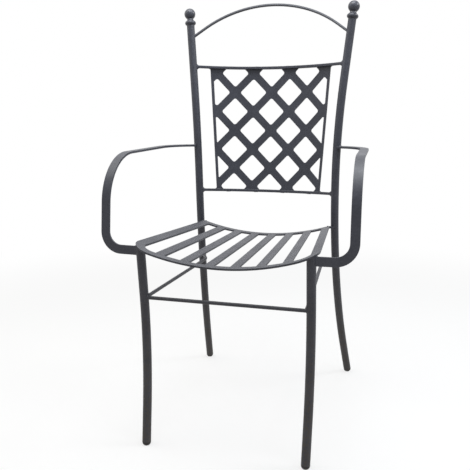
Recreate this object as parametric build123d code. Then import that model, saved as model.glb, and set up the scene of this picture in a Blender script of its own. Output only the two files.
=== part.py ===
"""Wrought iron armchair with a laser-cut lattice back.

Millimetres, +Z up, floor at Z = 0, the sitter faces -Y, the chair is symmetric about X = 0.
Left and right in the part names are as seen from the front: left is -X, right is +X.
"""
import os
from math import asin, cos, degrees, radians, sin, sqrt

from build123d import *

# Stock
TUBE_R = 10.4  # round tube of the posts and legs
TUBE_WALL = 1.8
BAR_W = 20.5  # flat bar of the arms, seat frame and slats
BAR_T = 4.4
ARM_T = 5.2  # the arms are of a heavier bar
ROD_D = 8.5  # round rod of the stretchers
RAIL = 7.2  # square bar of the two back rails
ARCH_W = 6.4  # flat bar of the top arch
ARCH_T = 5.3
SHEET_T = 3.0  # sheet of the lattice panel
FIT = 0.2  # clearance of a spigot inside a tube

# Dished seat
SEAT_FRONT = -291.3
SEAT_REAR = 128.0
SEAT_FRONT_HALF = 214.0
SEAT_REAR_HALF = 176.8
SEAT_MID_Z = 447.0  # top of the seat on the centre line
SEAT_TILT = -0.5  # degrees, the rear is the lower end
SEAT_R = 570.0  # radius of the dish
SEAT_FRONT_CORNER = 47.0
SEAT_REAR_CORNER = 12.0
SLATS = 6
LUG_W = 12.0
LUG_LAP = 5.0

# Rear post centre line: out from the rear corner of the seat, back from its rear edge
POST_FOOT_OUT = 43.2
POST_FOOT_BACK = 156.6
POST_LOW_OUT = 10.5
POST_LOW_BACK = 4.3
POST_LOW_Z = 330.0
POST_HIGH_OUT = 13.2
POST_HIGH_BACK = -5.9
POST_HIGH_RISE = 273.0  # above the seat
POST_TOP_OUT = 40.7
POST_TOP_BACK = 29.8
POST_TOP_RISE = 556.0
POST_LOW_R = 1200.0
POST_HIGH_R = 1500.0

# Front leg centre line: in from the front corner of the seat, back from its front edge
LEG_FOOT_IN = 23.0
LEG_FOOT_BACK = 14.3
LEG_BEND_IN = 20.2
LEG_BEND_BACK = 50.3
LEG_BEND_Z = 229.0
LEG_TIP_IN = 20.0
LEG_TIP_BACK = 25.3
LEG_TIP_RISE = 53.0
LEG_R = 1120.0

# Foot glides
GLIDE_Z = 8.0  # height of the tube end above the floor
GLIDE_STEM = 14.0

# Back panel and its rails, on one leaning cylinder
BACK_RISE = 274.3  # middle of the back above the seat
BACK_SET = 12.6  # bow of the rails that lies behind the post centre lines
BACK_LEAN = 4.75
BACK_R = 395.0  # centre line of the rails
RAIL_TOP_Z = 168.5  # heights along the leaning cylinder
RAIL_BOTTOM_Z = -166.0
PANEL_TOP_HALF = 165.0
PANEL_BOTTOM_HALF = 145.7
PANEL_BORDER = 7.0
PANEL_FLARE = 4.5  # radius of the flared corners under the rails
LATTICE_PITCH_X = 101.0
LATTICE_PITCH_Z = 103.0
STRIP_W = 20.1
HOLE_R = 5.5  # corners of a whole diamond
HOLE_EDGE_R = 1.5  # corners where the border cuts one

# Top arch
ARCH_DROP = 32.6  # its ends below the tops of the posts
ARCH_IN = 7.3  # its ends inside the post centre lines
ARCH_RISE = 89.8
ARCH_LEAN = 26.4
ARCH_TAIL = 38.0  # straight run at each end
ARCH_RUN_ON = 8.0  # stock past each end, coped away by the post

# Arms
ARM_RISE = 235.5  # centre of the bar at the post above the seat
ARM_OUT = 67.5  # top run beside the front corner of the seat
ARM_BACK = 54.3  # front corner of the arm behind the front edge of the seat
ARM_SLOPE = 0.5  # degrees, the front is the lower end
ARM_TOE = 2.6  # degrees, the top run draws in toward the rear
ARM_SHORT = 32.9  # from the corner beside the post to the post
ARM_PLAN_R = 80.0
ARM_BEND_R = 118.0
ARM_RAKE = 6.4  # degrees, the upright run leans back
ARM_GAP = 5.0  # lower run below the edge of the seat
ARM_LOW_R = 40.0
ARM_COPE = 6.0  # a coped end of the bar stops this far from a tube centre line

# Stretchers
FRONT_STRETCHER_Z = 359.0
FRONT_STRETCHER_SET = 3.0  # forward of the leg centre lines
SIDE_START_Z = 362.0
SIDE_START_IN = 9.3  # inside the leg centre line
SIDE_END_Z = 373.0
SIDE_BEND_DROP = 2.0  # bend below, inside and in front of the end at the post
SIDE_BEND_IN = 31.2
SIDE_BEND_FORWARD = 57.9
SIDE_BEND_R = 40.0

# Finials, distances along the post axis from the tube end
BALL_R = 14.8
BALL_AT = 30.0
COLLAR_R = 14.6
COLLAR_AT = 6.0
COLLAR_H = 9.6
NECK_R = 8.2
FLARE_IN = 2.4  # hollow of the flare between collar and neck
SPIGOT = 16.0

MIRROR = Plane.YZ

# Points of the two tube centre lines on the right side
POST_FOOT = Vector(SEAT_REAR_HALF + POST_FOOT_OUT, SEAT_REAR + POST_FOOT_BACK, 0)
POST_LOW = Vector(SEAT_REAR_HALF + POST_LOW_OUT, SEAT_REAR + POST_LOW_BACK, POST_LOW_Z)
POST_HIGH = Vector(SEAT_REAR_HALF + POST_HIGH_OUT, SEAT_REAR + POST_HIGH_BACK, SEAT_MID_Z + POST_HIGH_RISE)
POST_TOP = Vector(SEAT_REAR_HALF + POST_TOP_OUT, SEAT_REAR + POST_TOP_BACK, SEAT_MID_Z + POST_TOP_RISE)
LEG_FOOT = Vector(SEAT_FRONT_HALF - LEG_FOOT_IN, SEAT_FRONT + LEG_FOOT_BACK, 0)
LEG_BEND = Vector(SEAT_FRONT_HALF - LEG_BEND_IN, SEAT_FRONT + LEG_BEND_BACK, LEG_BEND_Z)
LEG_TIP = Vector(SEAT_FRONT_HALF - LEG_TIP_IN, SEAT_FRONT + LEG_TIP_BACK, SEAT_MID_Z + LEG_TIP_RISE)


def at_height(low, high, z):
    """Point of the straight line from low to high at height z."""
    return low + (high - low) * ((z - low.Z) / (high.Z - low.Z))


def left_of(shape):
    """Mirror image of a right-hand piece."""
    return mirror(shape, about=MIRROR)


def biggest(shape):
    """The main piece left after a cut."""
    return max(shape.solids(), key=lambda s: s.volume)


def swept(path, radius):
    """Round bar along a path."""
    return sweep(Plane(path @ 0, z_dir=path % 0) * Circle(radius), path=path)


def post_path():
    foot = at_height(POST_FOOT, POST_LOW, GLIDE_Z)
    return FilletPolyline(foot, POST_LOW, POST_HIGH, POST_TOP, radius=(POST_LOW_R, POST_HIGH_R))


def leg_path():
    foot = at_height(LEG_FOOT, LEG_BEND, GLIDE_Z)
    return FilletPolyline(foot, LEG_BEND, LEG_TIP, radius=LEG_R)


def seat_place():
    """Frame with its origin on the axis of the seat dish."""
    return Location((0, (SEAT_FRONT + SEAT_REAR) / 2, SEAT_MID_Z + SEAT_R), (SEAT_TILT, 0, 0))


def seat_z(x, y):
    """Height of the top of the dish."""
    tilt = radians(SEAT_TILT)
    along = y - (SEAT_FRONT + SEAT_REAR) / 2
    return SEAT_MID_Z + SEAT_R - sqrt(SEAT_R**2 - x**2) + along * sin(tilt) / cos(tilt)


def seat_core(radius):
    """Solid drum inside a surface of the dish."""
    return seat_place() * Rot(X=90) * Cylinder(radius, 2 * (SEAT_REAR - SEAT_FRONT))


def seat_half(y, inset=0.0):
    """Half width of the seat at depth y, drawn in by an inset."""
    slope = (SEAT_REAR_HALF - SEAT_FRONT_HALF) / (SEAT_REAR - SEAT_FRONT)
    return SEAT_FRONT_HALF + slope * (y - SEAT_FRONT) - inset * sqrt(1 + slope * slope)


def seat_plan(inset, front_r, rear_r):
    """Rounded outline of the seat, drawn in by an inset."""
    front = SEAT_FRONT + inset
    rear = SEAT_REAR - inset
    fx = seat_half(front, inset)
    rx = seat_half(rear, inset)
    corners = ((-fx, front), (fx, front), (rx, rear), (-rx, rear))
    return make_face(FilletPolyline(*corners, radius=(front_r, front_r, rear_r, rear_r), close=True))


def dished(plan):
    """Flat outline raised through the dish and cut to its thickness."""
    prism = Pos(0, 0, SEAT_MID_Z - 2 * BAR_W) * extrude(plan, SEAT_R / 2)
    return (prism & seat_core(SEAT_R + BAR_T)) - seat_core(SEAT_R)


def seat_opening():
    inner_front = SEAT_FRONT_CORNER - BAR_W
    return seat_plan(BAR_W, inner_front, SEAT_REAR_CORNER / 3)


def seat_frame():
    return biggest(dished(seat_plan(0, SEAT_FRONT_CORNER, SEAT_REAR_CORNER) - seat_opening()))


def seat_slat(index):
    """One slat; the slats and the side bars share one even pitch."""
    share = (index - (SLATS - 1) / 2) / ((SLATS + 1) / 2)
    ends = []
    for y in (SEAT_FRONT, SEAT_REAR):
        ends.append((share * seat_half(y, BAR_W / 2), y))
    (fx, fy), (rx, ry) = ends
    half = BAR_W / 2
    corners = ((fx - half, fy), (fx + half, fy), (rx + half, ry), (rx - half, ry))
    strip = make_face(Polyline(*corners, close=True))
    return biggest(dished(strip & seat_opening()))


def seat_lug(frame, post):
    """Short tab that ties the rear corner of the seat frame to the post."""
    lap = Vector(SEAT_REAR_HALF - LUG_LAP, SEAT_REAR - LUG_LAP)
    corner = Vector(lap.X, lap.Y, seat_z(lap.X, lap.Y) - BAR_T / 2)
    post_at = at_height(POST_LOW, POST_HIGH, corner.Z)
    run = Vector(post_at.X - corner.X, post_at.Y - corner.Y, 0)
    tab = Pos(run.length / 2, 0, 0) * Box(run.length, LUG_W, BAR_T)
    bar = Plane(corner, x_dir=run, z_dir=(0, 0, 1)) * tab
    return biggest(bar - frame - post)


def back_place():
    """Frame of the leaning back: X across, Y to the rear, Z up along the lean."""
    z = SEAT_MID_Z + BACK_RISE
    post_at = at_height(POST_LOW, POST_HIGH, z)
    bow = BACK_R - sqrt(BACK_R**2 - post_at.X**2)
    return Location((0, post_at.Y + bow + BACK_SET, z), (-BACK_LEAN, 0, 0))


def back_drum(radius, low, high):
    """Drum of the back cylinder between two heights, in the frame of the back."""
    return Pos(0, -BACK_R, (low + high) / 2) * Cylinder(radius, high - low)


def back_rail(z, posts):
    half = RAIL / 2
    ring = back_drum(BACK_R + half, z - half, z + half) - back_drum(BACK_R - half, z - half, z + half)
    front = Pos(0, -BACK_R, z) * Box(2.5 * BACK_R, 1.4 * BACK_R, 2 * RAIL)
    bar = back_place() * biggest(ring - Pos(0, -BACK_R * 0.05, 0) * front)
    return middle(bar, posts)


def middle(bar, posts):
    """The piece of a cross bar between the two posts."""
    cut = bar
    for post in posts:
        cut = cut - post
    return min(cut.solids(), key=lambda s: abs(s.center().X))


def rounded(face, radius):
    """The face with its outward corners rounded."""
    core = offset(face, -radius, kind=Kind.INTERSECTION)
    return offset(core, radius, kind=Kind.ARC)


def lattice_holes():
    """Outlines of the lattice holes on the flat sheet: (centre, face about the centre)."""
    radius = BACK_R + (RAIL + SHEET_T) / 2
    top = RAIL_TOP_Z - RAIL / 2
    low = RAIL_BOTTOM_Z + RAIL / 2
    top_x = radius * asin((PANEL_TOP_HALF - PANEL_BORDER) / radius)
    low_x = radius * asin((PANEL_BOTTOM_HALF - PANEL_BORDER) / radius)
    window = make_face(Polyline((-low_x, low), (low_x, low), (top_x, top), (-top_x, top), close=True))
    step_x = LATTICE_PITCH_X / 2
    step_z = LATTICE_PITCH_Z / 2
    shrink = 1 - STRIP_W * sqrt(step_x**2 + step_z**2) / (2 * step_x * step_z)
    dx = step_x * shrink
    dz = step_z * shrink
    holes = []
    for row in range(-3, 4):
        first = -3 if row % 2 == 0 else -2
        for column in range(first, 4, 2):
            x = column * step_x
            z = row * step_z
            diamond = make_face(Polyline((x + dx, z), (x, z + dz), (x - dx, z), (x, z - dz), close=True))
            hole = rounded(rounded(diamond, HOLE_R) & window, HOLE_EDGE_R)
            holes.append(((x, z), Pos(-x, -z) * hole))
    return holes


def panel_outline():
    """Flat outline of the sheet: it flares out to each rail."""
    rows = ((RAIL_BOTTOM_Z, PANEL_BOTTOM_HALF, -1), (RAIL_TOP_Z, PANEL_TOP_HALF, 1))
    edges = []
    waists = []
    ends = []
    for z, half, up in rows:
        wide = half + PANEL_FLARE
        rim = z + up * RAIL / 2
        inside = z - up * RAIL / 2
        turn = PANEL_FLARE * (1 - sqrt(0.5))
        for side in (-1, 1):
            waist = (side * half, inside - up * PANEL_FLARE)
            start = (side * wide, inside)
            edges.append(Line((side * wide, rim), start))
            edges.append(ThreePointArc(start, (side * (half + turn), inside - up * turn), waist))
            waists.append(waist)
            ends.append((side * wide, rim))
    edges += [Line(ends[0], ends[1]), Line(ends[2], ends[3])]
    edges += [Line(waists[0], waists[2]), Line(waists[1], waists[3])]
    return make_face(edges)


def lattice_panel():
    """Sheet lapped on the rear of both rails, bowed with them, its holes cut square to the sheet."""
    inner = BACK_R + RAIL / 2
    top = RAIL_TOP_Z + RAIL / 2
    low = RAIL_BOTTOM_Z - RAIL / 2
    sheet = back_drum(inner + SHEET_T, low, top) - back_drum(inner, low, top)
    front = Plane((0, -BACK_R / 2, 0), x_dir=(1, 0, 0), z_dir=(0, -1, 0))
    sheet = sheet & extrude(front * panel_outline(), -BACK_R)
    radius = inner + SHEET_T / 2
    cutters = []
    for (x, z), outline in lattice_holes():
        turn = degrees(x / radius)
        frame = Pos(0, -BACK_R, z) * Rot(Z=-turn) * Pos(0, radius, 0) * Rot(X=90)
        cutters.append(frame * extrude(outline, 3 * SHEET_T, both=True))
    return back_place() * biggest(sheet - cutters)


def top_arch(posts):
    post_at = at_height(POST_HIGH, POST_TOP, POST_TOP.Z - ARCH_DROP)
    half = post_at.X - ARCH_IN
    radius = (half**2 + ARCH_RISE**2) / (2 * ARCH_RISE)
    turn = asin(half / radius) - ARCH_TAIL / radius
    along = Vector(cos(turn), -sin(turn)) * (ARCH_TAIL + ARCH_RUN_ON)
    edges = []
    tips = []
    for r in (radius - ARCH_T / 2, radius + ARCH_T / 2):
        bend = Vector(r * sin(turn), r * cos(turn))
        tip = bend + along
        edges += [ThreePointArc((-bend.X, bend.Y), (0, r), bend), Line(bend, tip)]
        edges.append(Line((-bend.X, bend.Y), (-tip.X, tip.Y)))
        tips.append(tip)
    inner, outer = tips
    edges += [Line(inner, outer), Line((-inner.X, inner.Y), (-outer.X, outer.Y))]
    plane = Plane((0, 0, ARCH_RISE - radius), x_dir=(1, 0, 0), z_dir=(0, -1, 0))
    bar = extrude(plane * make_face(edges), ARCH_W / 2, both=True)
    placed = Location((0, post_at.Y, post_at.Z), (-ARCH_LEAN, 0, 0)) * bar
    return middle(placed, posts)


def bent_strip(start, corner, end, radius, width):
    """Flat outline of a strip with one rounded bend, from its centre line."""
    first = (corner - start).normalized()
    second = (end - corner).normalized()
    n1 = Vector(-first.Y, first.X)
    n2 = Vector(-second.Y, second.X)
    half = width / 2
    mitre = (n1 + n2) * (half / (1 + n1.dot(n2)))
    turn = 1 if first.cross(second).Z > 0 else -1
    left = FilletPolyline(start + n1 * half, corner + mitre, end + n2 * half, radius=radius - turn * half)
    right = FilletPolyline(start - n1 * half, corner - mitre, end - n2 * half, radius=radius + turn * half)
    return make_face([*left.edges(), Line(left @ 1, right @ 1), *right.edges(), Line(right @ 0, left @ 0)])


def arm(post, leg):
    """Right arm: flat on top, bent down at the front and in to the leg below the seat."""
    out = SEAT_FRONT_HALF + ARM_OUT
    place = Location((out, SEAT_FRONT + ARM_BACK, 0), (0, 0, ARM_TOE))
    joint = at_height(POST_LOW, POST_HIGH, SEAT_MID_Z + ARM_RISE)
    post_at = (place.inverse() * Location(joint)).position
    slope = radians(ARM_SLOPE)
    rake = radians(ARM_RAKE)
    front_z = joint.Z - post_at.Y * sin(slope) / cos(slope)
    top = Plane((0, 0, front_z), x_dir=(1, 0, 0), z_dir=(0, -sin(slope), cos(slope)))
    beside = Vector(0, post_at.Y - ARM_SHORT)
    half_run = beside * 0.5
    reach = Vector(post_at.X, post_at.Y) - beside
    start = beside + reach * (1 - ARM_COPE / reach.length)
    run = extrude(top * bent_strip(start, beside, half_run, ARM_PLAN_R, BAR_W), ARM_T / 2, both=True)
    side = Plane((0, 0, front_z), x_dir=top.y_dir, z_dir=(1, 0, 0))
    fall = Vector(-sin(rake + slope), -cos(rake + slope)) * (1.1 * ARM_BEND_R)
    drop = bent_strip(Vector(half_run.Y, 0), Vector(0, 0), fall, ARM_BEND_R, ARM_T)
    bend = extrude(side * drop, BAR_W / 2, both=True)
    front = Plane((0, 0, front_z), x_dir=(1, 0, 0), z_dir=(0, -cos(rake), sin(rake)))
    low_z = seat_z(SEAT_FRONT_HALF, LEG_TIP.Y) - BAR_T - ARM_GAP - BAR_W / 2
    low = (low_z - front_z) / cos(rake)
    inward = Vector(LEG_TIP.X + ARM_COPE - out, low)
    foot = bent_strip(Vector(0, -1.1 * ARM_BEND_R), Vector(0, low), inward, ARM_LOW_R, BAR_W)
    upright = extrude(front * foot, ARM_T / 2, both=True)
    return biggest(place * (run + bend + upright) - post - leg)


def stretcher(path, frames):
    """Round rod along a path, its ends fitted to the pieces it is welded to."""
    rod = swept(path, ROD_D / 2)
    for frame in frames:
        rod = rod - frame
    return min(rod.solids(), key=lambda s: (s.center() - path @ 0.5).length)


def on_path(path, z):
    """Point of a tube centre line at height z."""
    low, high = 0.0, 1.0
    for _ in range(40):
        mid = (low + high) / 2
        if (path @ mid).Z < z:
            low = mid
        else:
            high = mid
    return path @ low


def glide(path):
    """Domed plug in the end of a leg, worn flat where it stands."""
    frame = Plane(path @ 0, z_dir=(path % 0) * -1)
    stem_r = TUBE_R - TUBE_WALL - FIT
    plug = Sphere(TUBE_R) & Pos(0, 0, TUBE_R / 2) * Box(3 * TUBE_R, 3 * TUBE_R, TUBE_R)
    plug = plug + Pos(0, 0, -GLIDE_STEM / 2) * Cylinder(stem_r, GLIDE_STEM)
    start = path @ 0
    floor = Pos(start.X, start.Y, -TUBE_R) * Box(6 * TUBE_R, 6 * TUBE_R, 2 * TUBE_R)
    return biggest(frame * plug - floor)


def finial(path):
    """Turned ball on a flared collar, with a spigot in the post."""
    frame = Plane(path @ 1, z_dir=path % 1)
    stem_r = TUBE_R - TUBE_WALL - FIT
    join = sqrt(BALL_R**2 - NECK_R**2)
    neck_z = BALL_AT - join
    half = COLLAR_H / 2
    low = (COLLAR_R - half / 2, COLLAR_AT - half)
    high = (COLLAR_R - half / 2, COLLAR_AT + half)
    flare = ((COLLAR_R + NECK_R) / 2 - FLARE_IN, (COLLAR_AT + half + neck_z) / 2)
    profile = make_face(
        [
            Line((0, -SPIGOT), (stem_r, -SPIGOT)),
            Line((stem_r, -SPIGOT), (stem_r, 0)),
            Line((stem_r, 0), (TUBE_R, 0)),
            Line((TUBE_R, 0), low),
            ThreePointArc(low, (COLLAR_R, COLLAR_AT), high),
            ThreePointArc(high, flare, (NECK_R, neck_z)),
            ThreePointArc((NECK_R, neck_z), (BALL_R, BALL_AT), (0, BALL_AT + BALL_R)),
            Line((0, BALL_AT + BALL_R), (0, -SPIGOT)),
        ]
    )
    return frame * revolve(Plane.XZ * profile, Axis.Z)


def build():
    """All the pieces of the chair by name."""
    post_line = post_path()
    leg_line = leg_path()
    post_bar = swept(post_line, TUBE_R)
    leg_bar = swept(leg_line, TUBE_R)
    post = post_bar - swept(post_line, TUBE_R - TUBE_WALL)
    leg = biggest(leg_bar - swept(leg_line, TUBE_R - TUBE_WALL) - seat_core(SEAT_R + BAR_T))
    frame = seat_frame()
    posts = (post_bar, left_of(post_bar))
    legs = (leg_bar, left_of(leg_bar))
    leg_at = on_path(leg_line, FRONT_STRETCHER_Z) - Vector(0, FRONT_STRETCHER_SET, 0)
    front_line = Line(Vector(-leg_at.X, leg_at.Y, leg_at.Z), leg_at)
    side_end = on_path(post_line, SIDE_END_Z)
    side_start = on_path(leg_line, SIDE_START_Z) - Vector(SIDE_START_IN, 0, 0)
    side_bend = side_end - Vector(SIDE_BEND_IN, SIDE_BEND_FORWARD, SIDE_BEND_DROP)
    side_line = FilletPolyline(side_start, side_bend, side_end, radius=SIDE_BEND_R)
    front_rod = swept(front_line, ROD_D / 2)
    pairs = {
        "rear_post": post,
        "front_leg": leg,
        "arm": arm(post_bar, leg_bar),
        "finial": finial(post_line),
        "rear_glide": glide(post_line),
        "front_glide": glide(leg_line),
        "seat_lug": seat_lug(frame, post_bar),
        "side_stretcher": stretcher(side_line, (leg_bar, post_bar, front_rod)),
    }
    pieces = {
        "top_arch": top_arch(posts),
        "back_top_rail": back_rail(RAIL_TOP_Z, posts),
        "back_bottom_rail": back_rail(RAIL_BOTTOM_Z, posts),
        "lattice_panel": lattice_panel(),
        "seat_frame": frame,
        "front_stretcher": stretcher(front_line, legs),
    }
    for index in range(SLATS):
        pieces[f"seat_slat_{index + 1}"] = seat_slat(index)
    for name, right in pairs.items():
        pieces[f"{name}_right"] = right
        pieces[f"{name}_left"] = left_of(right)
    return pieces


os.makedirs("parts", exist_ok=True)
for part_name, solid in build().items():
    export_step(solid, f"parts/{part_name}.step")
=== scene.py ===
"""Looks of a welded wrought iron armchair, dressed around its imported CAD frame.

Blender works in metres, +Z up, and the sitter faces -Y. Sizes of the chair's pieces are in millimetres, and
MM takes them to metres. The CAD nodes keep their shape and get rounded edges and a powder coat. The welds
that hold them together are modelled here.
"""
import logging
import math
from dataclasses import dataclass, replace
from enum import Enum
from typing import Any, Callable, Iterator, Optional, Union

import bpy
from mathutils import Matrix, Vector


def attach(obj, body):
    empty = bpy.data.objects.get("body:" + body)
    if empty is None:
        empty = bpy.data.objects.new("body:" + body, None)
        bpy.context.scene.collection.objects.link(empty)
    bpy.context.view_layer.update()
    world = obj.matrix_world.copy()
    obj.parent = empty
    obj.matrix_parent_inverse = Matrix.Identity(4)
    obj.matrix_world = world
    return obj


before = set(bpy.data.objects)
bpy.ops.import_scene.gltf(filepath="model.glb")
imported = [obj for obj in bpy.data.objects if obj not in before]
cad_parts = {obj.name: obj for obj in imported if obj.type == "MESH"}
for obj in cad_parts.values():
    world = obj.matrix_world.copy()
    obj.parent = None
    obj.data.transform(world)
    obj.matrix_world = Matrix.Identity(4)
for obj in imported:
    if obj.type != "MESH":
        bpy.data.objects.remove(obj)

LOG = logging.getLogger("armchair")
MM = 0.001
BODY = "root"
SIDES = {"right": 1.0, "left": -1.0}
SKY = 0.28  # background as light, where 1 is the white that the camera sees

Triple = tuple[float, float, float]
Pair = tuple[float, float]
Colour = Triple
Operand = Union["Value", float]


class Slot(Enum):
    """Material slots of the record."""

    COAT = "powder_coat"
    GLIDE = "glide"


class Section(Enum):
    """Section that a weld starts from: a circle or ellipse, or a flat bar with round edges."""

    ROUND = "round"
    FLAT = "flat"


class Value:
    """A shader socket that takes part in Python arithmetic."""

    def __init__(self, graph: "Graph", socket: bpy.types.NodeSocket) -> None:
        """Wrap an output socket of a node tree."""
        self.graph = graph
        self.socket = socket

    def out(self, name: str) -> "Value":
        """Another output of the same node."""
        return Value(self.graph, self.socket.node.outputs[name])

    def _math(self, operation: str, first: Operand, second: Operand) -> "Value":
        """Add one Math node."""
        return self.graph.node("ShaderNodeMath", {"operation": operation}, {0: first, 1: second})

    def __add__(self, other: Operand) -> "Value":
        """Sum."""
        return self._math("ADD", self, other)

    def __radd__(self, other: Operand) -> "Value":
        """Sum with the value on the right."""
        return self._math("ADD", other, self)

    def __sub__(self, other: Operand) -> "Value":
        """Difference."""
        return self._math("SUBTRACT", self, other)

    def __rsub__(self, other: Operand) -> "Value":
        """Difference with the value on the right."""
        return self._math("SUBTRACT", other, self)

    def __mul__(self, other: Operand) -> "Value":
        """Product."""
        return self._math("MULTIPLY", self, other)

    def __rmul__(self, other: Operand) -> "Value":
        """Product with the value on the right."""
        return self._math("MULTIPLY", other, self)

    def between(self, low: float, high: float) -> "Value":
        """Share of the way from low to high, smooth and held at both ends.

        Args:
            low: The value that gives 0.
            high: The value that gives 1.

        Returns:
            A value from 0 to 1.
        """
        settings = {"interpolation_type": "SMOOTHSTEP"}
        inputs = {"Value": self, "From Min": low, "From Max": high}
        return self.graph.node("ShaderNodeMapRange", settings, inputs)


class Graph:
    """Node tree of one material or world."""

    def __init__(self, tree: bpy.types.NodeTree) -> None:
        """Start from an empty tree."""
        self.tree = tree
        tree.nodes.clear()

    def node(
        self,
        kind: str,
        settings: Optional[dict[str, Any]] = None,
        inputs: Optional[dict[Union[str, int], Any]] = None,
        output: Union[str, int] = 0,
    ) -> Value:
        """Add a node.

        Args:
            kind: The node's type.
            settings: Properties of the node, set first.
            inputs: Values or links by socket name or number.
            output: The output to return.

        Returns:
            The chosen output, or the node's first input where it has no output.
        """
        made = self.tree.nodes.new(kind)
        for name, value in (settings or {}).items():
            setattr(made, name, value)
        for name, value in (inputs or {}).items():
            if isinstance(value, Value):
                self.tree.links.new(value.socket, made.inputs[name])
            else:
                made.inputs[name].default_value = value
        return Value(self, made.outputs[output] if len(made.outputs) else made.inputs[0])

    def place(self) -> Value:
        """Object coordinates, in metres."""
        return self.node("ShaderNodeTexCoord", output="Object")

    def noise(self, grain: float, detail: float, seed: float = 0.0) -> Value:
        """Noise over the object's own coordinates.

        Args:
            grain: Size of one patch, in metres.
            detail: Number of finer layers.
            seed: Shift along the fourth axis.

        Returns:
            A value around 0.5.
        """
        inputs = {"Vector": self.place(), "W": seed, "Scale": 1.0 / grain, "Detail": detail}
        return self.node("ShaderNodeTexNoise", {"noise_dimensions": "4D"}, inputs)

    def seen(self) -> Value:
        """1 for what the camera, a reflection or a clear body sees, 0 for light."""
        path = self.node("ShaderNodeLightPath", output="Is Camera Ray")
        return (path + path.out("Is Glossy Ray") + path.out("Is Transmission Ray")).between(0.0, 1.0)

    def shown(self, seen: Value) -> Value:
        """Strength of the background: white where it is seen, softer as light."""
        return SKY + (1.0 - SKY) * seen

    def blend(self, share: Operand, first: Any, second: Any) -> Value:
        """Mix of two colours.

        Args:
            share: Share of the second colour.
            first: A colour or a link.
            second: A colour or a link.

        Returns:
            The mixed colour.
        """
        ends = [end if isinstance(end, Value) else (*end, 1.0) for end in (first, second)]
        inputs = {0: share, 6: ends[0], 7: ends[1]}
        return self.node("ShaderNodeMix", {"data_type": "RGBA"}, inputs, output=2)


@dataclass(frozen=True)
class PowderCoat:
    """Satin coat: fine fleck, mottle, slow clouds, dust and painted top light on what faces up, brown dirt
    near the floor.
    """

    name: str
    slot: Slot
    deep: Colour
    light: Colour
    # pale grey on faces that look up: partly dust, partly painted light from above on top faces
    dust_and_top_light: Colour
    dust_and_top_light_share: float
    dirt: Colour
    dirt_share: float
    dirt_height: float
    roughness: float
    fleck: float
    mottle: float
    cloud: float
    peel: float
    specular: float
    bump: float = 0.4
    fleck_span: Pair = (0.34, 0.66)
    patch_span: Pair = (0.3, 0.7)
    level_span: Pair = (0.3, 1.0)

    def material(self) -> bpy.types.Material:
        """Make the material, or find it if it is made already.

        Returns:
            The material.
        """
        found = bpy.data.materials.get(self.name)
        if found:
            return found
        made = bpy.data.materials.new(self.name)
        made.use_nodes = True
        graph = Graph(made.node_tree)
        fleck = graph.noise(self.fleck, 2.0).between(*self.fleck_span)
        mottle = graph.noise(self.mottle, 3.0, 1.0).between(*self.patch_span)
        cloud = graph.noise(self.cloud, 4.0, 2.0).between(*self.patch_span)
        # Faces that look up go toward a pale grey: partly dust, partly painted light that brightens the
        # tops.
        dust_and_top_light_amount = self._dust_and_top_light_mask(graph) * (0.5 + 0.25 * cloud + 0.25 * mottle) * self.dust_and_top_light_share
        splashed = self._splashed(graph) * mottle * self.dirt_share
        coat = graph.blend(0.3 * fleck + 0.35 * mottle + 0.35 * cloud, self.deep, self.light)
        coat = graph.blend(dust_and_top_light_amount, coat, self.dust_and_top_light)
        rough = self.roughness - 0.05 * cloud + 0.06 * fleck + 0.05 * mottle
        peel = graph.noise(self.fleck * 1.6, 2.0, 5.0) + 0.6 * graph.noise(self.mottle, 1.0, 7.0)
        skin = {"Strength": self.bump, "Distance": self.peel, "Height": peel}
        inputs = {
            "Base Color": graph.blend(splashed, coat, self.dirt),
            "Roughness": rough + 0.15 * dust_and_top_light_amount + 0.2 * splashed,
            "Specular IOR Level": self.specular,
            "Normal": graph.node("ShaderNodeBump", inputs=skin),
        }
        shader = graph.node("ShaderNodeBsdfPrincipled", inputs=inputs)
        graph.node("ShaderNodeOutputMaterial", inputs={"Surface": shader})
        return made

    def _dust_and_top_light_mask(self, graph: Graph) -> Value:
        """Share of a face that faces up, where dust settles and painted light from above is laid on."""
        normal = graph.node("ShaderNodeNewGeometry", output="Normal")
        return graph.node("ShaderNodeSeparateXYZ", inputs={0: normal}, output="Z").between(*self.level_span)

    def _splashed(self, graph: Graph) -> Value:
        """Share of a face that dirt reaches from the floor."""
        height = graph.node("ShaderNodeSeparateXYZ", inputs={0: graph.place()}, output="Z")
        return height.between(self.dirt_height, 0.0)


@dataclass(frozen=True)
class FloorPaper:
    """Pale paper floor that fades to the white of the background away from the chair."""

    name: str
    colour: Colour
    bounce: Colour
    lift: float
    near: float
    far: float

    def material(self) -> bpy.types.Material:
        """Make the material.

        Returns:
            The material.
        """
        made = bpy.data.materials.new(self.name)
        made.use_nodes = True
        graph = Graph(made.node_tree)
        seen = graph.seen()
        length = {"operation": "LENGTH"}
        reach = graph.node("ShaderNodeVectorMath", length, {0: graph.place()}, output="Value")
        fade = reach.between(self.near, self.far)
        tint = graph.blend(seen, self.bounce, self.colour)
        paper = graph.node("ShaderNodeBsdfDiffuse", inputs={"Color": tint})
        white = graph.node("ShaderNodeEmission", inputs={"Strength": graph.shown(seen)})
        inputs = {0: fade + (1.0 - fade) * seen * self.lift, 1: paper, 2: white}
        surface = graph.node("ShaderNodeMixShader", inputs=inputs)
        graph.node("ShaderNodeOutputMaterial", inputs={"Surface": surface})
        return made


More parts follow.
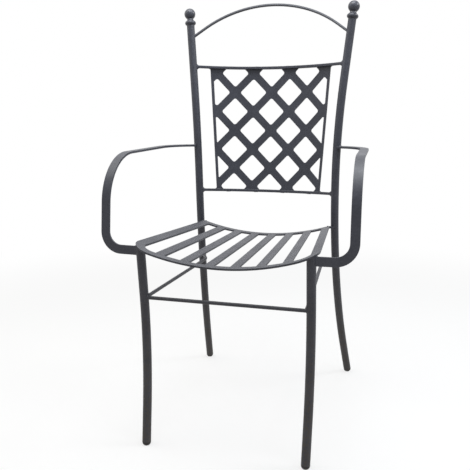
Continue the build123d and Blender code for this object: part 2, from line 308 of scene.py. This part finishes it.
CHARCOAL = PowderCoat(
    name="charcoal_powder_coat",
    slot=Slot.COAT,
    deep=(0.023, 0.025, 0.035),
    light=(0.058, 0.062, 0.081),
    # pale grey on up-facing faces: dust, and painted top light that lifts seat, arm and rail tops
    dust_and_top_light=(0.17, 0.17, 0.175),
    dust_and_top_light_share=0.34,
    dirt=(0.062, 0.053, 0.041),
    dirt_share=0.85,
    dirt_height=0.6,
    roughness=0.43,
    fleck=1.2 * MM,
    mottle=4.5 * MM,
    cloud=45 * MM,
    peel=0.06 * MM,
    specular=0.4,
)
# less dust and painted top light on the finials
TURNED = replace(CHARCOAL, name="powder_coat_turned", roughness=0.3, dust_and_top_light_share=0.22)
PLUG = PowderCoat(
    name="dark_foot_plug",
    slot=Slot.GLIDE,
    deep=(0.012, 0.012, 0.013),
    light=(0.02, 0.02, 0.021),
    # dust and painted top light on the plugs' up-facing faces
    dust_and_top_light=(0.1, 0.1, 0.1),
    dust_and_top_light_share=0.1,
    dirt=(0.07, 0.06, 0.05),
    dirt_share=0.4,
    dirt_height=0.03,
    roughness=0.5,
    fleck=0.9 * MM,
    mottle=3.0 * MM,
    cloud=12 * MM,
    peel=0.03 * MM,
    specular=0.35,
)
PAPER = FloorPaper(
    name="paper_floor",
    colour=(0.93, 0.93, 0.93),
    bounce=(0.55, 0.48, 0.4),
    lift=0.7,
    near=0.9,
    far=2.2,
)


class Bench:
    """Operators on one piece at a time."""

    @staticmethod
    def take(piece: bpy.types.Object) -> None:
        """Select one piece alone and make it active.

        Args:
            piece: The piece.
        """
        bpy.ops.object.select_all(action="DESELECT")
        piece.select_set(True)
        bpy.context.view_layer.objects.active = piece

    @staticmethod
    def clear(piece: bpy.types.Object, kind: str) -> None:
        """Leave a piece in object mode with nothing selected on its mesh.

        Args:
            piece: The piece.
            kind: What is picked next, FACE or VERT.
        """
        Bench.take(piece)
        bpy.ops.object.mode_set(mode="EDIT")
        bpy.ops.mesh.select_mode(type=kind)
        bpy.ops.mesh.select_all(action="DESELECT")
        bpy.ops.object.mode_set(mode="OBJECT")

    @staticmethod
    def faces(piece: bpy.types.Object, wanted: Callable[[bpy.types.MeshPolygon], bool]) -> None:
        """Enter edit mode with some faces selected.

        Args:
            piece: The piece to edit.
            wanted: Says whether a face is selected.
        """
        Bench.clear(piece, "FACE")
        for face in piece.data.polygons:
            face.select = wanted(face)
        bpy.ops.object.mode_set(mode="EDIT")

    @staticmethod
    def points(piece: bpy.types.Object, wanted: Callable[[Vector], bool]) -> None:
        """Enter edit mode with some points selected.

        Args:
            piece: The piece to edit.
            wanted: Says whether a point is selected, by its place.
        """
        Bench.clear(piece, "VERT")
        for vertex in piece.data.vertices:
            vertex.select = wanted(vertex.co)
        bpy.ops.object.mode_set(mode="EDIT")

    @staticmethod
    def close() -> None:
        """Turn all faces of the piece in hand outward and leave edit mode."""
        bpy.ops.mesh.select_all(action="SELECT")
        bpy.ops.mesh.normals_make_consistent(inside=False)
        bpy.ops.object.mode_set(mode="OBJECT")

    @staticmethod
    def modify(piece: bpy.types.Object, kind: str, **settings: Any) -> None:
        """Add a modifier and apply it.

        Args:
            piece: The piece.
            kind: The modifier's type.
            **settings: Its properties.
        """
        Bench.take(piece)
        made = piece.modifiers.new(kind.lower(), kind)
        for name, value in settings.items():
            setattr(made, name, value)
        bpy.ops.object.modifier_apply(modifier=made.name)

    @staticmethod
    def settle(piece: bpy.types.Object) -> None:
        """Put the piece's place into its mesh."""
        Bench.take(piece)
        bpy.ops.object.transform_apply(location=True, rotation=True, scale=True)

    @staticmethod
    def copy(piece: bpy.types.Object, name: str, place: Matrix) -> bpy.types.Object:
        """Copy a piece with a mesh of its own.

        Args:
            piece: The piece to copy.
            name: Name of the copy.
            place: Where the copy goes, from where the piece is.

        Returns:
            The copy, with its place in its mesh.
        """
        made = bpy.data.objects.new(name, piece.data.copy())
        bpy.context.scene.collection.objects.link(made)
        made.matrix_world = place
        Bench.settle(made)
        Bench.faces(made, lambda face: True)
        Bench.close()
        return made

    @staticmethod
    def hand_over(piece: bpy.types.Object, finish: PowderCoat) -> None:
        """Coat a finished piece and hang it on the body.

        Args:
            piece: The piece.
            finish: Its finish.
        """
        Bench.take(piece)
        bpy.ops.object.shade_smooth()
        piece.data.materials.clear()
        piece.data.materials.append(finish.material())
        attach(piece, BODY)


def placed(at: Vector, along: Vector, across: Vector) -> Matrix:
    """Frame of a piece.

    Args:
        at: Its origin.
        along: Its Z axis.
        across: A direction near its X axis.

    Returns:
        The frame as a matrix.
    """
    z = along.normalized()
    x = (across - across.dot(z) * z).normalized()
    return Matrix.Translation(at) @ Matrix((x, z.cross(x), z)).transposed().to_4x4()


@dataclass(frozen=True)
class Joint:
    """Where a bar meets the tube that carries it, on the right side.

    The throat is the size of its fillet, and spread is the part of it that also grows across the bar.
    """

    name: str
    host: str
    at: Triple
    toward: Triple
    across: Triple
    width: float
    depth: float
    section: Section
    throat: float
    spread: float = 1.0


@dataclass(frozen=True)
class WeldFillet:
    """Hollow weld that flares from a bar on to the tube that it meets."""

    points: int = 28
    rings: int = 7
    lead: float = 1.5
    bury: float = 0.15
    sink: float = 0.7
    ripple: float = 0.35
    ripple_grain: float = 3.2
    reach: float = 24.0

    def build(self, joint: Joint, finish: PowderCoat) -> list[bpy.types.Object]:
        """Model one weld and its mirror image.

        Args:
            joint: The joint on the right side.
            finish: The coat over the weld.

        Returns:
            The right weld and the left one.
        """
        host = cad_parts[f"{joint.host}_right"]
        toward = Vector(joint.toward).normalized()
        start = (Vector(joint.at) - self.reach * toward) * MM
        hit, at, _, _ = host.ray_cast(start, toward)
        if not hit:
            raise ValueError(f"{joint.name} misses {joint.host}")
        weld = self._stock(joint)
        self._flare(weld, joint)
        weld.matrix_world = placed(at, toward, Vector(joint.across))
        self._land(weld, joint, host)
        Bench.settle(weld)
        left = Bench.copy(weld, f"{joint.name}_left", Matrix.Scale(-1.0, 4, (1.0, 0.0, 0.0)))
        for piece in (weld, left):
            Bench.hand_over(piece, finish)
        return [weld, left]

    def _stock(self, joint: Joint) -> bpy.types.Object:
        """Section of the bar that the weld starts from.

        Args:
            joint: The joint.

        Returns:
            The flat section, square to Z, a little before the fillet starts.
        """
        bpy.ops.object.select_all(action="DESELECT")
        low = (0.0, 0.0, -(joint.throat + self.lead) * MM)
        bpy.ops.mesh.primitive_circle_add(vertices=self.points, radius=0.5, fill_type="NGON", location=low)
        made = bpy.context.object
        made.name = f"{joint.name}_right"
        Bench.settle(made)
        wide, thick = ((size - 2 * self.bury) * MM for size in (joint.width, joint.depth))
        flat = joint.section is Section.FLAT
        Bench.faces(made, lambda face: True)
        bpy.ops.transform.resize(value=(thick if flat else wide, thick, 1.0), center_override=low)
        bpy.ops.object.mode_set(mode="OBJECT")
        if flat:
            for way in (1.0, -1.0):
                Bench.points(made, lambda place: way * place.x > 0.01 * thick)
                bpy.ops.transform.translate(value=(way * (wide - thick) / 2, 0.0, 0.0))
                bpy.ops.object.mode_set(mode="OBJECT")
        return made

    def _flare(self, weld: bpy.types.Object, joint: Joint) -> None:
        """Extrude the section ring by ring along a hollow quarter round.

        Args:
            weld: The section.
            joint: The joint.
        """
        throat = joint.throat
        rows = [(throat, 0.0)]
        for ring in range(1, self.rings):
            turn = math.pi / 2 * ring / (self.rings - 1)
            rows.append((throat * math.sqrt(1.0 - math.sin(turn)), throat * (1.0 - math.cos(turn))))
        z = -(throat + self.lead)
        half = [joint.width / 2 - self.bury, joint.depth / 2 - self.bury]
        Bench.faces(weld, lambda face: True)
        for back, grown in rows:
            step = (0.0, 0.0, (-back - z) * MM)
            bpy.ops.mesh.extrude_region_move(TRANSFORM_OT_translate={"value": step})
            z = -back
            goal = [joint.width / 2 + grown * joint.spread, joint.depth / 2 + grown]
            value = (goal[0] / half[0], goal[1] / half[1], 1.0)
            bpy.ops.transform.resize(value=value, center_override=(0.0, 0.0, z * MM))
            half = goal
        Bench.close()

    def _land(self, weld: bpy.types.Object, joint: Joint, host: bpy.types.Object) -> None:
        """Let the wide end into the tube's skin, then round and ripple the weld.

        Args:
            weld: The flared weld, in place.
            joint: The joint.
            host: The tube.
        """
        group = weld.vertex_groups.new(name="landing")
        for vertex in weld.data.vertices:
            group.add([vertex.index], max(0.0, 1.0 + vertex.co.z / (joint.throat * MM)), "REPLACE")
        landing = {"target": host, "wrap_method": "NEAREST_SURFACEPOINT", "wrap_mode": "INSIDE"}
        Bench.modify(weld, "SHRINKWRAP", vertex_group=group.name, offset=self.sink * MM, **landing)
        Bench.modify(weld, "SUBSURF", levels=2, render_levels=2)
        cloud = bpy.data.textures.get("weld_ripple") or bpy.data.textures.new("weld_ripple", "CLOUDS")
        cloud.noise_scale = self.ripple_grain * MM
        ripple = {"strength": self.ripple * MM, "mid_level": 0.5, "texture_coords": "GLOBAL"}
        Bench.modify(weld, "DISPLACE", texture=cloud, **ripple)


@dataclass(frozen=True)
class WeldBead:
    """Short tack of weld metal with a few ripples."""

    name: str
    length: float
    width: float
    height: float
    steps: int = 5
    swell: float = 1.14
    sides: int = 14

    def stamp(self, places: list[Matrix], finish: PowderCoat) -> list[bpy.types.Object]:
        """Model the bead once and copy it to each place.

        Args:
            places: Frames with X along the bead and Z away from the steel.
            finish: The coat over the beads.

        Returns:
            The beads.
        """
        pattern = self._model()
        beads = []
        for number, place in enumerate(places, 1):
            bead = Bench.copy(pattern, f"{self.name}_{number}", place)
            Bench.hand_over(bead, finish)
            beads.append(bead)
        bpy.data.objects.remove(pattern)
        return beads

    def _model(self) -> bpy.types.Object:
        """Shape the bead at the origin, along X.

        Returns:
            The bead.
        """
        bpy.ops.object.select_all(action="DESELECT")
        rings = 2 * self.steps + 2
        bpy.ops.mesh.primitive_uv_sphere_add(segments=self.sides, ring_count=rings, radius=1.0)
        made = bpy.context.object
        made.name = f"{self.name}_pattern"
        made.rotation_euler = (0.0, math.pi / 2, 0.0)
        Bench.settle(made)
        for step in range(1, self.steps + 1):
            middle = -math.cos(math.pi * (2 * step) / rings)
            Bench.faces(made, lambda face: abs(face.center.x - middle) < 0.55 / self.steps)
            swell = (1.0, self.swell, self.swell)
            bpy.ops.transform.resize(value=swell, center_override=(middle, 0.0, 0.0))
            Bench.close()
        made.scale = (self.length / 2 * MM, self.width / 2 * MM, self.height * MM)
        Bench.settle(made)
        Bench.modify(made, "SUBSURF", levels=1, render_levels=1)
        return made


@dataclass(frozen=True)
class EdgeBreak:
    """Rounded arris that rolled bar and cut sheet have, with angles in degrees."""

    radius: float
    segments: int = 2
    crease: float = 38.0
    merge: float = 0.002
    level: float = 0.2

    def on(self, node: bpy.types.Object) -> None:
        """Round the sharp edges of a CAD node with live modifiers.

        Args:
            node: The node's object.
        """
        merge = node.modifiers.new("merge", "WELD")
        merge.merge_threshold = self.merge * MM
        planes = node.modifiers.new("planes", "DECIMATE")
        planes.decimate_type = "DISSOLVE"
        planes.angle_limit = math.radians(self.level)
        arris = node.modifiers.new("arris", "BEVEL")
        arris.width = self.radius * MM
        arris.segments = self.segments
        arris.limit_method = "ANGLE"
        arris.angle_limit = math.radians(self.crease)
        arris.use_clamp_overlap = False
        shade = node.modifiers.new("shade", "WEIGHTED_NORMAL")
        shade.weight = 50
        shade.keep_sharp = False


BAR_EDGE = EdgeBreak(radius=0.45)
ROUND_EDGE = EdgeBreak(radius=1.6, segments=4)
SOFT_EDGE = EdgeBreak(radius=1.0, segments=4)
SHEET_EDGE = EdgeBreak(radius=0.35)


@dataclass
class SubAssembly:
    """Pieces of the chair that are made and coated together."""

    fillet: WeldFillet

    def nodes(self) -> dict[str, Optional[EdgeBreak]]:
        """CAD nodes of the sub-assembly with the edges that they get."""
        raise NotImplementedError

    def joints(self) -> Iterator[Joint]:
        """Welded joints on the right side."""
        yield from ()

    def finish_of(self, node: str) -> PowderCoat:
        """Finish of a CAD node."""
        return CHARCOAL

    def weld(self) -> list[bpy.types.Object]:
        """Model the fillets of all joints."""
        return [piece for joint in self.joints() for piece in self.fillet.build(joint, CHARCOAL)]

    def dress(self) -> list[bpy.types.Object]:
        """Coat the CAD nodes and round their edges.

        Returns:
            The nodes' objects.
        """
        dressed = []
        for name, edge in self.nodes().items():
            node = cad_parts[name]
            node.material_slots[0].material = self.finish_of(name).material()
            if edge:
                edge.on(node)
            dressed.append(node)
        return dressed

    def build(self) -> list[bpy.types.Object]:
        """Weld, then dress, and give all the pieces."""
        return self.weld() + self.dress()


@dataclass
class Posts(SubAssembly):
    """Rear posts with their finials and foot plugs, and the front legs with theirs."""

    def nodes(self) -> dict[str, Optional[EdgeBreak]]:
        """Tubes, finials and plugs."""
        kinds = ("rear_post", "front_leg", "finial", "rear_glide", "front_glide")
        return {f"{kind}_{side}": None for kind in kinds for side in SIDES}

    def finish_of(self, node: str) -> PowderCoat:
        """Plugs are darker than the tubes, and turned finials smoother.

        Args:
            node: Name of the node.

        Returns:
            Its finish.
        """
        if "glide" in node:
            return PLUG
        return TURNED if "finial" in node else CHARCOAL


@dataclass
class Back(SubAssembly):
    """Lattice panel between two bowed rails, under the top arch."""

    bow: float = 395.0
    lean: float = 4.75
    rail: float = 7.2
    rail_throat: float = 7.6
    rail_spread: float = 0.7
    top_centre: Triple = (0.0, -196.4, 921.9)
    low_centre: Triple = (0.0, -224.0, 588.6)
    top_end: float = 197.0
    low_end: float = 179.0
    panel_top: float = 165.0
    panel_low: float = 145.7
    panel_tack: WeldBead = WeldBead("panel_tack", 14.0, 4.0, 1.1)
    tacks: tuple[float, ...] = (-0.78, -0.26, 0.26, 0.78)
    arch_end: Triple = (205.7, 155.5, 974.1)
    arch_run: Triple = (0.774, -0.281, -0.567)
    arch_face: Triple = (0.0, 0.9, -0.44)
    arch_bar: Pair = (6.4, 5.3)
    arch_throat: float = 4.0

    def nodes(self) -> dict[str, Optional[EdgeBreak]]:
        """Panel, rails and arch."""
        bars = {"back_top_rail": ROUND_EDGE, "back_bottom_rail": SOFT_EDGE, "top_arch": SOFT_EDGE}
        return {**bars, "lattice_panel": SHEET_EDGE}

    def on_bow(self, centre: Triple, x: float, radius: float, rise: float = 0.0) -> tuple[Vector, Vector]:
        """Point and direction on the bowed back.

        Args:
            centre: Centre of the rail's circle.
            x: Distance from the middle of the chair.
            radius: Radius of the circle.
            rise: Height above the rail's plane.

        Returns:
            The point, and the direction toward +X there.
        """
        lean = math.radians(self.lean)
        rear = Vector((0.0, math.cos(lean), -math.sin(lean)))
        up = Vector((0.0, math.sin(lean), math.cos(lean)))
        turn = math.asin(x / radius)
        side = Vector((1.0, 0.0, 0.0))
        point = Vector(centre) + radius * (math.sin(turn) * side + math.cos(turn) * rear) + rise * up
        return point, math.cos(turn) * side - math.sin(turn) * rear

    def joints(self) -> Iterator[Joint]:
        """Rails and arch on the posts.

        Yields:
            The joints.
        """
        rear = (0.0, 1.0, 0.0)
        bar = (self.rail, self.rail, Section.ROUND, self.rail_throat, self.rail_spread)
        ends = (("top", self.top_centre, self.top_end), ("bottom", self.low_centre, self.low_end))
        for name, centre, end in ends:
            at, toward = self.on_bow(centre, end, self.bow)
            yield Joint(f"weld_{name}_rail", "rear_post", at[:], toward[:], rear, *bar)
        arch = (self.arch_face, *self.arch_bar, Section.ROUND, self.arch_throat)
        yield Joint("weld_arch", "rear_post", self.arch_end, self.arch_run, *arch)

    def weld(self) -> list[bpy.types.Object]:
        """Fillets at the posts, and tacks along the panel.

        Returns:
            The welds.
        """
        pieces = super().weld()
        seams = []
        edges = ((self.top_centre, self.panel_top, 1.0), (self.low_centre, self.panel_low, -1.0))
        for centre, half, sign in edges:
            up = Vector((0.0, 0.0, sign))
            for share in self.tacks:
                rise = sign * self.rail / 2
                at, along = self.on_bow(centre, share * half, self.bow + self.rail / 2, rise)
                seams.append(placed(at * MM, up, along))
        return pieces + self.panel_tack.stamp(seams, CHARCOAL)


@dataclass
class Arms(SubAssembly):
    """Flat bar arms from the posts round to the front legs."""

    bar: Pair = (20.5, 5.2)
    throat: float = 3.4
    rear_end: Triple = (200.6, 122.0, 682.4)
    rear_run: Triple = (-0.934, 0.357, 0.003)
    rear_share: float = 0.66
    rear_spread: float = 0.5
    front_end: Triple = (203.9, -264.1, 471.3)
    front_run: Triple = (-0.999, -0.045, 0.0)
    rake: float = 6.4

    def nodes(self) -> dict[str, Optional[EdgeBreak]]:
        """Both arms."""
        return {f"arm_{side}": BAR_EDGE for side in SIDES}

    def joints(self) -> Iterator[Joint]:
        """Arm on the post and on the front leg.

        Yields:
            The joints.
        """
        wide, thick = self.bar
        flat = (self.rear_run[1], -self.rear_run[0], 0.0)
        rear = (wide * self.rear_share, thick, Section.FLAT, self.throat, self.rear_spread)
        yield Joint("weld_arm_rear", "rear_post", self.rear_end, self.rear_run, flat, *rear)
        rake = math.radians(self.rake)
        tall = (0.0, math.sin(rake), math.cos(rake))
        front = (wide, thick, Section.FLAT, self.throat)
        yield Joint("weld_arm_front", "front_leg", self.front_end, self.front_run, tall, *front)


@dataclass
class Seat(SubAssembly):
    """Dished ring with six slats, tied to the posts and standing on the front legs."""

    front: float = -291.3
    rear: float = 128.0
    front_half: float = 214.0
    rear_half: float = 176.8
    bar: Pair = (20.5, 4.4)
    height: float = 447.0
    dish: float = 570.0
    tilt: float = -0.5
    slats: int = 6
    slat_tack: WeldBead = WeldBead("slat_tack", 13.0, 5.0, 1.6)
    lug_start: Triple = (171.8, 123.0, 469.5)
    lug_end: Triple = (189.6, 134.1, 469.5)
    lug_width: float = 12.0
    lug_share: float = 0.75
    lug_throat: float = 2.6
    lug_spread: float = 0.6
    lug_seam: Triple = (174.2, 124.5, 471.9)
    lug_tack: WeldBead = WeldBead("lug_tack", 12.5, 4.6, 1.0, 4)
    seam_run: Pair = (-0.74, 0.67)
    leg_top: Pair = (194.0, -264.2)
    leg_radius: float = 10.4
    leg_tack: WeldBead = WeldBead("leg_tack", 9.0, 3.6, 1.4, 4)
    leg_turns: Triple = (-2.3, 1.3, 2.7)
    leg_drop: float = 0.4
    leg_slope: float = 0.6

    def nodes(self) -> dict[str, Optional[EdgeBreak]]:
        """Ring, slats and lugs; the lugs are too small for rounded edges.

        Returns:
            The nodes with their edges.
        """
        slats = [f"seat_slat_{number}" for number in range(1, self.slats + 1)]
        lugs = {f"seat_lug_{side}": None for side in SIDES}
        return {**dict.fromkeys(["seat_frame", *slats], BAR_EDGE), **lugs}

    def top(self, x: float, y: float) -> float:
        """Height of the top of the seat."""
        along = (y - (self.front + self.rear) / 2) * math.tan(math.radians(self.tilt))
        return self.height + self.dish - math.sqrt(self.dish**2 - x**2) + along

    def half(self, y: float) -> float:
        """Half width between the middles of the side bars."""
        slope = (self.rear_half - self.front_half) / (self.rear - self.front)
        return self.front_half + slope * (y - self.front) - self.bar[0] / 2

    def joints(self) -> Iterator[Joint]:
        """Lugs on the posts.

        Yields:
            The joint.
        """
        run = Vector(self.lug_end) - Vector(self.lug_start)
        across = (-run.y, run.x, 0.0)
        size = (self.lug_width * self.lug_share, self.bar[1], Section.FLAT, self.lug_throat, self.lug_spread)
        yield Joint("weld_seat_lug", "rear_post", self.lug_end, run[:], across, *size)

    def weld(self) -> list[bpy.types.Object]:
        """Lug fillets and seams, tacks under the slat ends and round the leg tops.

        Returns:
            The welds.
        """
        pieces = super().weld()
        pieces += self.slat_tack.stamp(self.slat_ends(), CHARCOAL)
        pieces += self.leg_tack.stamp(self.leg_rims(), CHARCOAL)
        return pieces + self.lug_tack.stamp(self.lug_seams(), CHARCOAL)

    def slat_ends(self) -> list[Matrix]:
        """Frames under both ends of each slat.

        Returns:
            The frames.
        """
        wide, thick = self.bar
        ends = []
        for number in range(self.slats):
            share = (number - (self.slats - 1) / 2) / ((self.slats + 1) / 2)
            for y in (self.front + wide, self.rear - wide):
                x = share * self.half(y)
                along = Vector((1.0, 0.0, x / self.dish))
                down = Vector((x / self.dish, 0.0, -1.0))
                ends.append(placed(Vector((x, y, self.top(x, y) - thick)) * MM, down, along))
        return ends

    def leg_rims(self) -> list[Matrix]:
        """Frames round the tops of both front legs, under the seat.

        Returns:
            The frames.
        """
        up = Vector((0.0, 0.0, 1.0))
        rims = []
        for side in SIDES.values():
            for turn in self.leg_turns:
                out = Vector((side * math.cos(turn), math.sin(turn), 0.0))
                at = Vector((side * self.leg_top[0], self.leg_top[1], 0.0)) + self.leg_radius * out
                at.z = self.top(at.x, at.y) - self.bar[1] - self.leg_drop
                rims.append(placed(at * MM, out - self.leg_slope * up, up.cross(out)))
        return rims

    def lug_seams(self) -> list[Matrix]:
        """Frames above and below the seam of each lug with the ring.

        Returns:
            The frames.
        """
        x, y, z = self.lug_seam
        seams = []
        for side in SIDES.values():
            along = Vector((side * self.seam_run[0], self.seam_run[1], 0.0))
            for way, drop in ((1.0, 0.0), (-1.0, self.bar[1])):
                at = Vector((side * x, y, z - drop))
                seams.append(placed(at * MM, Vector((0.0, 0.0, way)), along))
        return seams


@dataclass
class Stretchers(SubAssembly):
    """Round rods between the legs."""

    rod: float = 8.5
    spread: float = 0.8
    front_end: Triple = (184.3, -256.0, 359.0)
    front_run: Triple = (1.0, 0.0, 0.0)
    front_throat: float = 3.4
    side_front: Triple = (185.2, -246.0, 361.8)
    side_front_run: Triple = (0.069, -0.997, -0.026)
    side_front_throat: float = 2.4
    side_rear: Triple = (187.4, 140.7, 372.7)
    side_rear_run: Triple = (0.474, 0.880, 0.030)
    side_rear_throat: float = 2.8

    def nodes(self) -> dict[str, Optional[EdgeBreak]]:
        """One front rod and two side rods."""
        return dict.fromkeys(["front_stretcher", *(f"side_stretcher_{side}" for side in SIDES)])

    def joints(self) -> Iterator[Joint]:
        """Rods on legs and posts.

        Yields:
            The joints.
        """
        up = (0.0, 0.0, 1.0)
        rod = (up, self.rod, self.rod, Section.ROUND)
        for name, host, at, run, throat in (
            ("front_rod", "front_leg", self.front_end, self.front_run, self.front_throat),
            ("side_rod_front", "front_leg", self.side_front, self.side_front_run, self.side_front_throat),
            ("side_rod_rear", "rear_post", self.side_rear, self.side_rear_run, self.side_rear_throat),
        ):
            yield Joint(f"weld_{name}", host, at, run, *rod, throat, self.spread)


@dataclass(frozen=True)
class Softbox:
    """Square area lamp, in metres and watts."""

    name: str
    at: Triple
    aim: Triple
    size: float
    power: float
    colour: Colour

    def hang(self) -> None:
        """Put the lamp in its place, turned to its aim."""
        data = bpy.data.lights.new(self.name, "AREA")
        data.size = self.size
        data.energy = self.power
        data.color = self.colour
        made = bpy.data.objects.new(self.name, data)
        bpy.context.scene.collection.objects.link(made)
        made.location = self.at
        made.rotation_euler = (Vector(self.aim) - Vector(self.at)).to_track_quat("-Z", "Y").to_euler()


SOFTBOXES = (
    Softbox("overhead_softbox", (0.1, -0.2, 2.2), (0.0, 0.0, 0.5), 1.0, 25.0, (0.93, 0.96, 1.0)),
    Softbox("overhead_left_softbox", (-0.7, -0.2, 2.2), (0.0, 0.0, 0.5), 1.0, 10.0, (1.0, 0.96, 0.88)),
    Softbox("left_softbox", (-2.2, -0.4, 1.8), (0.0, 0.0, 0.6), 1.4, 9.0, (1.0, 0.98, 0.85)),
    Softbox("right_softbox", (1.9, -1.2, 2.05), (0.0, 0.0, 0.85), 1.2, 10.0, (0.8, 0.9, 1.0)),
    Softbox("right_rear_softbox", (1.9, 0.5, 2.1), (0.1, 0.1, 0.9), 0.7, 20.0, (0.97, 0.98, 0.98)),
)


@dataclass
class Studio:
    """Floor, soft light and the camera of the photograph, in metres, degrees and pixels."""

    lamps: tuple[Softbox, ...] = SOFTBOXES
    floor_side: float = 40.0
    focal_pixels: float = 632.51
    picture_pixels: float = 470.0
    axis_pixels: Pair = (237.54, 236.91)
    yaw: float = 16.188
    pitch: float = -11.740
    roll: float = -0.354
    stand: Triple = (0.40347, -1.53689, 0.78951)
    sensor: float = 36.0

    def build(self) -> None:
        """Make the floor, the world, the lamps and the camera."""
        self.floor()
        self.world()
        for lamp in self.lamps:
            lamp.hang()
        self.camera()

    def floor(self) -> None:
        """A plain sheet on the ground."""
        bpy.ops.object.select_all(action="DESELECT")
        bpy.ops.mesh.primitive_plane_add(size=self.floor_side)
        sheet = bpy.context.object
        sheet.name = "floor"
        sheet.data.materials.append(PAPER.material())

    def world(self) -> None:
        """White to the camera and in reflections, softer as light."""
        world = bpy.data.worlds.new("studio")
        bpy.context.scene.world = world
        world.use_nodes = True
        graph = Graph(world.node_tree)
        inputs = {"Color": (1.0, 1.0, 1.0, 1.0), "Strength": graph.shown(graph.seen())}
        light = graph.node("ShaderNodeBackground", inputs=inputs)
        graph.node("ShaderNodeOutputWorld", inputs={"Surface": light})

    def camera(self) -> None:
        """The camera that took the photograph, from the fit to the chair's own symmetry."""
        data = bpy.data.cameras.new("photo_camera")
        data.sensor_width = self.sensor
        data.lens = self.focal_pixels / self.picture_pixels * self.sensor
        middle = self.picture_pixels / 2
        data.shift_x = (middle - self.axis_pixels[0]) / self.picture_pixels
        data.shift_y = (self.axis_pixels[1] - middle) / self.picture_pixels
        made = bpy.data.objects.new("photo_camera", data)
        bpy.context.scene.collection.objects.link(made)
        turn = Matrix.Rotation(math.radians(self.yaw), 4, "Z")
        turn = turn @ Matrix.Rotation(math.radians(90.0 + self.pitch), 4, "X")
        turn = turn @ Matrix.Rotation(math.radians(self.roll), 4, "Z")
        made.matrix_world = Matrix.Translation(self.stand) @ turn
        bpy.context.scene.camera = made


def main() -> None:
    """Make the chair in the order of its welding, then set up the picture."""
    logging.basicConfig(level=logging.INFO, format="%(name)s: %(message)s")
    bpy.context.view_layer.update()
    bpy.context.view_layer.update()
    bpy.context.scene.view_settings.view_transform = "Standard"
    fillet = WeldFillet()
    for part in (Posts(fillet), Back(fillet), Arms(fillet), Seat(fillet), Stretchers(fillet)):
        for piece in part.build():
            LOG.info("%s: %s, %d faces", type(part).__name__, piece.name, len(piece.data.polygons))
    Studio().build()


if __name__ == "__main__":
    main()
